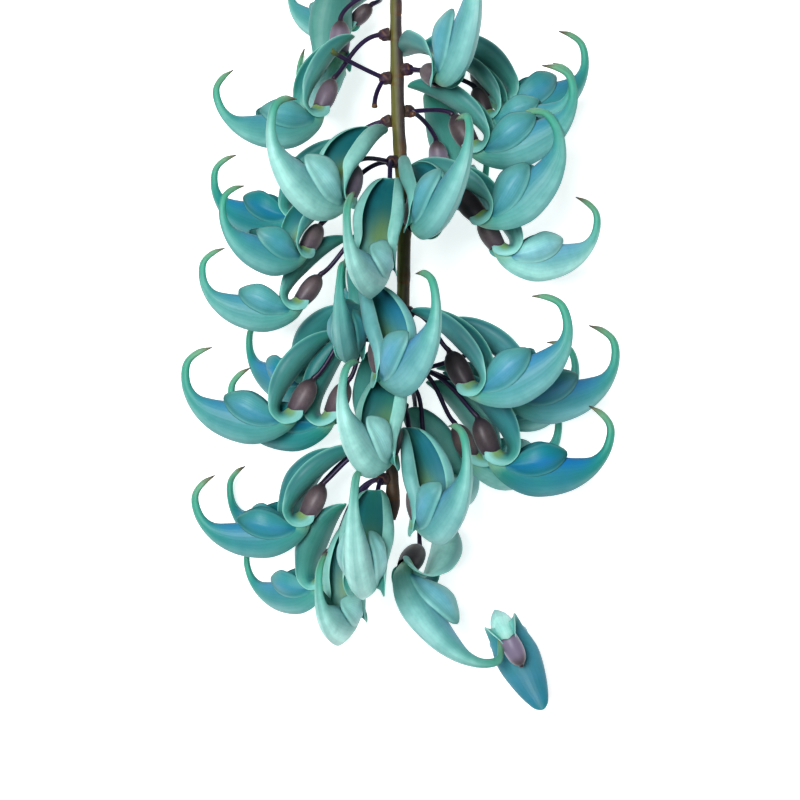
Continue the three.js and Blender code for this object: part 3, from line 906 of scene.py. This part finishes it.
    def add_wing(self, side: int) -> None:
        """Adds a wing, with a groove inside its margin, a raised lip and a crease along its middle.

        Args:
            side: 1 or -1, for the side of the keel.
        """
        rows = smooth_curve(self.wing, self.wing_rows)
        place = blade_places(self.wing_columns)
        low, mid, high = rows[:, None, 0:3], rows[:, None, 3:6], rows[:, None, 6:9]
        t = place[:, None]
        middle = mid + t * (high - low) / 2 + t * t * ((high + low) / 2 - mid)
        along = row_places(self.wing_rows, self.wing_columns)
        width = np.linalg.norm(high - low, axis=2)
        inset = (1 - np.abs(place)) * width / 2
        full = ramp(width, 3.0, 9.0)
        relief = self.lip_height * hump(inset, 1.0, 0.9) - self.groove_depth * hump(inset, 2.6, 1.1)
        relief = full * relief * ramp(place, 0.3, -0.4)
        crease = hump(place, 0.12 - 0.25 * along, 0.16) * band(along, 0.1, 0.35, 0.7, 0.95)
        relief = relief + self.crease_height * crease
        normals = blade_normals(middle)
        middle = middle + normals * np.sign(normals[..., 2].mean()) * relief[..., None]
        middle[..., 2] *= side
        tint = self.bloom
        blue = (0.18 + 0.8 * tint.blue) * (0.25 + 0.75 * hump(place, -0.15, 0.45))
        blue = blue * ramp(along, 0.02, 0.2) * ramp(along, 1.0, 0.6)
        # pale: each flower's own paleness, and a painted highlight on the raised lip inside the margin
        pale = tint.pale * 0.7 * ramp(along, 0.1, 0.3) + 0.15 * full * hump(inset, 0.9, 0.6)
        # deep: painted shade in the groove inside the margin and at the root beside the calyx; darker
        # towards the tip and the high margin
        deep = 0.2 * full * hump(inset, 2.4, 1.2) * ramp(place, 0.4, -0.3) + 0.3 * ramp(along, 0.82, 1.0)
        deep = deep + 0.4 * ramp(place, 0.6, 1.0) + 0.3 * hump(place, -0.1, 0.3) * ramp(along, 0.4, 0.1)
        # rim: a painted dark line of shade along the margin's edge
        rim = 0.6 * hump(inset, 0.0, 0.3) * ramp(along, 0.35, 0.6)
        self.add_blade(
            middle, place, Petal.WING, tint.lift,
            along=along, across=place, blue=blue, pale=pale, deep=deep, rim=rim,
        )

    def rolled_section(self, share: Array, roll: Array) -> tuple[Array, Array]:
        """One half of a banner's cross-section, whose margin rolls in over its hollow.

        Args:
            share: places from the fold, at 0, to the margin, at 1.
            roll: a column of how far each row's margin rolls in, from 0 to 1.

        Returns:
            How far out and how deep each place lies in each row, with the widest place 1 out.
        """
        start = 0.8 - 0.32 * roll
        rolled = roll * ramp((share - start) / (0.96 - start), 0.0, 1.0)
        angle = np.radians(self.fold_bend * share**1.2 + self.margin_turn * rolled)
        shares = []
        for wave in (np.cos(angle), np.sin(angle)):
            reach = np.cumsum((wave[:, 1:] + wave[:, :-1]) / 2 * np.diff(share), axis=1)
            widest = reach.max(axis=1, keepdims=True)
            shares.append(np.concatenate([np.zeros_like(roll), reach / widest], axis=1))
        return shares[0], shares[1]

    def add_banner(self) -> None:
        """Adds the banner, folded along its middle and bent back over the calyx."""
        rows = smooth_curve(self.banner, self.banner_rows)
        place = blade_places(self.banner_columns)
        off = np.abs(place)
        fold, margin, wide = rows[:, None, 0:2], rows[:, None, 2:4], rows[:, None, 4]
        along = row_places(self.banner_rows, self.banner_columns)
        collar = ramp(along, 0.26, 0.1)
        roll = self.bloom.roll * band(along[:, :1], 0.2, 0.42, 0.86, 0.98)
        halves = self.rolled_section(place[self.banner_columns // 2:], roll)
        out, deep = (np.concatenate([half[:, :0:-1], half], axis=1) for half in halves)
        out = out + (np.sin(off * 1.95) - out) * collar
        deep = deep + (1 - np.cos(off * math.pi / 2) - deep) * collar
        plane = fold + (margin - fold) * deep[..., None]
        middle = np.concatenate([plane, (out * np.sign(place) * wide / 2)[..., None]], axis=2)
        tint = self.bloom
        lip = ramp(tint.roll, 0.6, 0.95)
        hollow = {
            # deep in the hollow: the hood's deep teal, partly its own colour and partly painted shade inside
            # the hood
            "deep": tint.hood * band(along, 0.25, 0.6, 0.85, 1.05) * ramp(off, 1.0, 0.7),
            "blue": (0.1 + 0.5 * tint.blue) * ramp(along, 0.25, 0.5) * hump(off, 0.5, 0.4),
            "pale": 0.35 * ramp(along, 0.7, 0.3) * hump(off, 0.3, 0.4),
            "fresh": 0.65 * tint.fresh * hump(along, 0.42, 0.16) * hump(off, 0.0, 0.28),
        }
        back = {
            # deep on the back: a little darker along the fold further out, painted shade at the bend that
            # faces the calyx, and painted shade along margins that don't roll into a lip
            "deep": 0.15 * ramp(along, 0.3, 0.6) * ramp(off, 0.5, 0.1)
            + 0.7 * hump(along, 0.2, 0.1) * ramp(off, 0.7, 0.3)
            + 0.5 * (1 - lip) * ramp(off, 0.66, 0.86) * ramp(along, 0.24, 0.4),
            "blue": 0.5 * tint.blue**2 * ramp(along, 0.2, 0.4),
            "pale": (0.06 + 0.4 * tint.pale + tint.crown) * band(along, 0.05, 0.2, 0.6, 0.95)
            + 0.35 * ramp(along, 0.24, 0.1) * ramp(off, 0.6, 0.85)
            + 0.1 * lip * ramp(off, 0.5, 0.8) * ramp(along, 0.2, 0.36),
            "fresh": 0.75 * tint.fresh * ramp(along, 0.16, 0.08) * ramp(off, 0.85, 0.55),
        }
        hollow_first = (blade_normals(middle)[..., 1] > 0).mean() > 0.5
        faces = (hollow, back) if hollow_first else (back, hollow)
        read = {name: np.stack([face[name] for face in faces]) for name in hollow}
        # rim: a pale line along the margins, painted light where the thin edge lets light through
        rim = 0.7 * hump((1 - off) * wide / 2, 0.0, 0.5) * ramp(along, 0.05, 0.2)
        self.add_blade(middle, place, Petal.BANNER, tint.bend, along=along, across=place, rim=rim, **read)

    def build(self, materials: list[Material]) -> None:
        """Makes the flower.

        Args:
            materials: the keel's, the wings' and the banner's.
        """
        self.add_keel()
        self.add_wing(1)
        self.add_wing(-1)
        self.add_banner()
        label = self.bloom.label
        self.surface.piece(f"petals_{label}", materials, f"flower_{label}", Slot.PETAL)


@dataclass
class Calyx:
    """A barrel-shaped cup that holds the petals, in the flower's own plane at size 1.

    Its profiles hold the place along it, as a share of its length from its mouth, and the radius.
    """

    bloom: Bloom
    long: float = 17.0
    rings: int = 40
    sides: int = 32
    outer: tuple[tuple[float, float], ...] = (
        (-1.06, 1.25), (-1.0, 1.7), (-0.94, 2.9), (-0.82, 4.3), (-0.6, 5.35), (-0.38, 5.6), (-0.16, 5.2),
        (-0.02, 4.8), (0.03, 4.6),
    )
    inner: tuple[tuple[float, float], ...] = ((0.025, 4.3), (-0.06, 4.2), (-0.22, 3.9), (-0.3, 0.6))

    def build(self, material: Material) -> None:
        """Makes the calyx with its uneven rim.

        Args:
            material: its skin.
        """
        profile = smooth_curve(np.array(self.outer) * (self.long, 1.0), self.rings)
        rows = np.concatenate([profile, np.array(self.inner) * (self.long, 1.0)])
        angle = ring_angles(self.sides)
        along, radius = rows[:, :1], rows[:, 1:]
        near_rim = ramp(along, -0.3 * self.long, 0.02 * self.long)
        along = along + near_rim * (0.7 * np.cos(angle) + 0.3 * np.cos(5 * angle))
        radius = radius * (1 + 0.025 * np.cos(2 * angle + self.bloom.number))
        local = np.stack([along, radius * np.cos(angle), radius * np.sin(angle)], axis=2)
        place = np.concatenate([np.linspace(0, 1, self.rings), np.ones(len(self.inner))])[:, None]
        # dusk: painted shade inside the cup and at its mouth, darker at the base, and the calyx's own darker
        # colour where blush is below 0
        dark = 0.5 * ramp(place, 0.93, 1.0) + 0.4 * ramp(place, 0.14, 0.0) - min(self.bloom.blush, 0.0)
        surface = Surface(CalyxSkin.carried)
        blush = max(self.bloom.blush, 0.0) * ramp(place, 0.15, 0.5)
        surface.loft(self.bloom.put(local), along=place, blush=blush, dusk=np.clip(dark, 0, 1))
        label, bunch = self.bloom.label, self.bloom.bunch
        node = f"pedicels_{bunch}" if bunch else f"calyx_{label}"
        surface.piece(f"calyx_cup_{label}", [material], node, Slot.CALYX)


@dataclass(frozen=True)
class Bare:
    """A pedicel that has dropped its flower: where it ends, and how much of it is fresh green or scarred."""

    at: Point
    fresh: float = 0.0
    scar: float = 0.6


@dataclass(frozen=True)
class Knob:
    """Where a bunch of pedicels leaves the rachis, the side it points to, and its bare pedicels."""

    name: str
    along: float
    turn: float
    bare: tuple[Bare, ...] = ()


KNOBS = (
    Knob("a", 206, 200), Knob("b", 183, 175), Knob("c", 165, 30),
    Knob("d", 161, 165, (Bare((-34, 171.5, 15), fresh=0.45, scar=0.1), Bare((-12.5, 145, 9), scar=0.9))),
    Knob("e", 145, 340, (Bare((6, 139, 22)),)),
    Knob("f", 140, 195), Knob("g", 119, 140), Knob("h", 106, 20), Knob("j", 92, 200), Knob("k", 44, 60),
    Knob("l", 50, 200), Knob("m", 36, 120), Knob("n", 16, 345), Knob("o", -3, 70), Knob("p", -22, 195),
    Knob("q", -39, 150), Knob("r", 7, 315), Knob("s", 30, 215),
)


@dataclass
class Rachis:
    """The flower axis, from its fresh cut at the top to its bare brown end.

    Its stations hold the place across, the place along and the radius. It swells at each knob and scar,
    and has a shallow ring and a corky mark a little below them.
    """

    sides: int = 32
    rings: int = 330
    knob_rise: float = 0.3
    scar_rise: float = 0.35
    most_rise: float = 0.28
    ring_depth: float = 0.18
    mark_below: float = 3.4
    stations: tuple[Point, ...] = (
        (-2.0, 217.0, 2.9), (-2.0, 182.0, 2.9), (-1.5, 164.0, 3.3), (-1.0, 142.0, 3.2),
        (0.5, 118.0, 3.3), (2.0, 102.0, 3.4), (2.0, 72.0, 3.3), (1.5, 40.0, 3.0),
        (1.0, 8.0, 3.0), (-2.0, -12.0, 2.9), (-4.5, -27.0, 2.9), (-3.8, -39.0, 3.0),
        (-3.5, -57.0, 2.4), (-3.5, -60.0, 1.3),
    )
    scars: tuple[tuple[float, float], ...] = (
        (-29, 60), (-46, 110), (-52, 300), (84, 300), (62, 80), (127, 60), (196, 40),
    )

    def at(self, along: float) -> tuple[Array, float]:
        """The axis at one place.

        Args:
            along: the place along the spray.

        Returns:
            The middle, and the thicker neighbour's radius.
        """
        index = next(k for k, (_, y, _) in enumerate(self.stations) if y < along)
        (x0, y0, r0), (x1, y1, r1) = self.stations[index - 1], self.stations[index]
        share = (along - y0) / (y1 - y0)
        return np.array([x0 + (x1 - x0) * share, along, AXIS_HEIGHT]), max(r0, r1)

    def build(self, bark: Material, cut: Material) -> None:
        """Makes the axis with its swellings and scars.

        Args:
            bark: the skin's material.
            cut: the cut face's material.
        """
        rows = smooth_curve(self.stations, self.rings)
        angle = ring_angles(self.sides)
        y, even = rows[:, 1:2], rows[:, 2:3]
        radius = even * (1 + 0.03 * np.cos(3 * angle + 0.03 * y) + 0.015 * np.cos(7 * angle - 0.05 * y))
        scar = np.zeros_like(radius)
        swellings = [(knob.along, knob.turn, self.knob_rise) for knob in KNOBS]
        for along, turn, rise in swellings + [(*place, self.scar_rise) for place in self.scars]:
            facing = 0.5 + 0.5 * np.cos(angle - math.radians(turn))
            below = along - self.mark_below
            radius = radius + rise * hump(y, along, 3.2) * (0.3 + 0.7 * facing)
            radius = radius - self.ring_depth * hump(y, below, 0.5) * facing
            scar = scar + 0.9 * hump(y, below, 0.7) * facing**2 + 0.45 * hump(y, along, 2.2) * facing**3
        radius = np.minimum(radius, even + self.most_rise)
        path = np.column_stack([rows[:, :2], np.full(self.rings, AXIS_HEIGHT)])
        # The first direction is +X, so that an angle here is the same turn as a flower's
        rings = tube(path, radius, self.sides, np.array([1.0, 0.0, 0.0]))
        place = (y[0] - y) / (y[0] - y[-1])
        fresh = 0.85 * ramp(np.cos(angle - math.pi * 0.85), 0.0, 0.9) * ramp(place, 0.78, 0.6)
        surface = Surface(("along", "across", "scar", "fresh"))
        surface.loft(rings, cap_finish=1, along=place, across=1.0, scar=np.clip(scar, 0, 0.85), fresh=fresh)
        # The last two points are the middles of the fresh cut and of the bare end
        surface.read["across"][0][-2] = 0.0
        surface.piece("rachis_stem", [bark, cut], "rachis", Slot.RACHIS)


@dataclass
class Stalks:
    """A knob with its pedicels, up to their calyces."""

    knob: Knob
    blooms: tuple[Bloom, ...]
    surface: Surface = field(default_factory=lambda: Surface(StalkSkin.carried))
    long: float = 5.5
    thick: float = 6.0
    pedicel_thick: float = 2.3
    neck: float = 1.5
    into_calyx: float = 0.6
    bow: float = 3.0
    calyx_swell: float = 0.18
    bare_swell: float = 0.3
    knob_rings: int = 18
    knob_sides: int = 24
    rings: int = 34
    sides: int = 12
    profile: tuple[tuple[float, float], ...] = ((0, 0.5), (0.12, 0.52), (0.5, 0.5), (0.82, 0.4), (1, 0.24))

    def add_knob(self, start: Array, end: Array) -> None:
        """Adds the lumpy knob.

        Args:
            start: its root's middle.
            end: its end's middle.
        """
        shape = smooth_curve(self.profile, self.knob_rings)
        place, radius = shape[:, :1], shape[:, 1:] * self.thick
        angle = ring_angles(self.knob_sides)
        lumps = 1 + 0.07 * np.cos(5 * angle + 3 * place) + 0.05 * np.cos(3 * angle - 9 * place)
        rings = tube(start + (end - start) * place, radius * lumps, self.knob_sides, HANGING)
        scar = 0.7 * ramp(np.cos(3 * angle - 9 * place), 0.5, 1.0) * ramp(place, 0.3, 0.6)
        self.surface.loft(rings, finish=1, along=place, scar=scar)

    def add_pedicel(self, path: Array, swell: float, fresh: float = 0.0, scar: float = 0.0) -> None:
        """Adds one pedicel along a path.

        Args:
            path: its middle line.
            swell: how much thicker its end is.
            fresh: how green its end is.
            scar: how scarred its end is.
        """
        place = np.linspace(0.0, 1.0, len(path))[:, None]
        half = self.pedicel_thick / 2 * (1 + 0.25 * ramp(place, 0.12, 0.0) + swell * ramp(place, 0.86, 1.0))
        radius = half * (1 + 0.04 * np.cos(3 * ring_angles(self.sides) + 6 * place))
        first = unit(np.cross(path[1] - path[0], [0.3, 0.5, 0.8]))
        self.surface.loft(
            tube(path, radius, self.sides, first),
            along=place, fresh=fresh * ramp(place, 0.8, 0.95), scar=scar * ramp(place, 0.93, 0.99),
        )

    def build(self, rachis: Rachis, skin: Material, cork: Material) -> None:
        """Makes the knob and its pedicels.

        Args:
            rachis: the axis that carries them.
            skin: the pedicels' material.
            cork: the knob's material.
        """
        middle, radius = rachis.at(self.knob.along)
        out = sideways(self.knob.turn)
        start = middle + out * (radius + GAP)
        end = start + out * self.long + HANGING
        self.add_knob(start, end)
        root = (start + end) / 2
        t = np.linspace(0.0, 1.0, self.rings)[:, None]
        for bloom in self.blooms:
            _, u, v, _ = bloom.axes()
            base = bloom.put(np.array([-Calyx.long - self.neck, 0.0, 0.0]))
            reach = float(np.linalg.norm(base - root))
            near = root + unit((base - root) * (1, 0, 1)) * reach * 0.4
            far = base - u * reach * 0.2 - v * reach * 0.1
            path = (1 - t) ** 3 * root + 3 * (1 - t) ** 2 * t * near + 3 * (1 - t) * t**2 * far + t**3 * base
            into = base + u * (self.neck + self.into_calyx) * bloom.size
            self.add_pedicel(np.concatenate([path, [into]]), self.calyx_swell)
        for bare in self.knob.bare:
            tip = np.array(bare.at, float) + UP * AXIS_HEIGHT
            halfway = (root + tip) / 2 + out * self.bow
            path = (1 - t) ** 2 * root + 2 * (1 - t) * t * halfway + t**2 * tip
            self.add_pedicel(path, self.bare_swell, bare.fresh, bare.scar)
        name = self.knob.name
        self.surface.piece(f"stalks_{name}", [skin, cork], f"pedicels_{name}", Slot.PEDICEL)


@dataclass(frozen=True)
class Lamp:
    """A soft studio light: where it hangs, what it points at, its size, power in watts and colour."""

    name: str
    at: Point
    towards: Point
    size: float
    power: float
    colour: str

    def build(self) -> None:
        """Hangs the light."""
        light = bpy.data.lights.new(self.name, "AREA")
        light.shape, light.size, light.energy = "DISK", self.size, self.power
        light.color = linear(self.colour)[:3]
        hung = placed(self.name, light)
        hung.location = self.at
        hung.rotation_mode = "QUATERNION"
        hung.rotation_quaternion = (Vector(self.towards) - Vector(self.at)).to_track_quat("-Z", "Y")


@dataclass
class Studio:
    """The table that the spray lies on, the camera straight above it and the lights, in metres.

    The camera looks down from 0.8 m above the rachis, and a pixel of the picture is 0.5 mm there.
    """

    camera_at: Point = (-0.0015, -0.034, 0.868)
    lens: float = 72.0
    sensor: float = 36.0
    table: float = 6.0
    table_below: float = 0.05 * MM
    sky: str = "#FFFFFF"
    sky_strength: float = 0.09
    lamps: tuple[Lamp, ...] = (
        Lamp("key_softbox", (-0.36, 0.16, 1.6), (0.0, 0.0, 0.05), 0.6, 22.0, "#FCFDFF"),
        Lamp("fill_softbox", (0.7, -0.9, 1.1), (0.0, 0.0, 0.05), 1.2, 3.0, "#F4F8FF"),
    )

    def build(self) -> None:
        """Makes the table, the camera, the lights and the sky."""
        half = self.table / 2
        mesh = bpy.data.meshes.new("table_top")
        corners = ((-half, -half), (half, -half), (half, half), (-half, half))
        mesh.from_pydata([(x, y, -self.table_below) for x, y in corners], [], [(0, 1, 2, 3)])
        mesh.materials.append(TABLE_SHEET.material())
        placed("table_top", mesh)

        camera = bpy.data.cameras.new("camera_above")
        camera.lens, camera.sensor_width = self.lens, self.sensor
        seen = placed("camera_above", camera)
        seen.location = self.camera_at
        bpy.context.scene.camera = seen
        for lamp in self.lamps:
            lamp.build()

        world = bpy.data.worlds.new("studio_sky")
        world.use_nodes = True
        background = world.node_tree.nodes["Background"]
        background.inputs["Color"].default_value = linear(self.sky)
        background.inputs["Strength"].default_value = self.sky_strength
        bpy.context.scene.world = world
        bpy.context.scene.view_settings.view_transform = "Standard"
        bpy.context.scene.view_settings.look = "Medium High Contrast"


def main() -> None:
    """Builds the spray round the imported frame."""
    logging.basicConfig(level=logging.INFO, format="%(message)s")
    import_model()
    Studio().build()
    rachis = Rachis()
    rachis.build(RACHIS_SKIN.material(), CUT_STEM.material())
    skin, cork, downy = PEDICEL_SKIN.material(), KNOB_SKIN.material(), CALYX_SKIN.material()
    petals = [finish.material() for finish in (KEEL_SKIN, WING_SKIN, BANNER_SKIN)]
    for knob in KNOBS:
        Stalks(knob, tuple(b for b in BLOOMS if b.bunch == knob.name)).build(rachis, skin, cork)
    for bloom in BLOOMS:
        Calyx(bloom).build(downy)
        Corolla(bloom).build(petals)


if __name__ == "__main__":
    main()
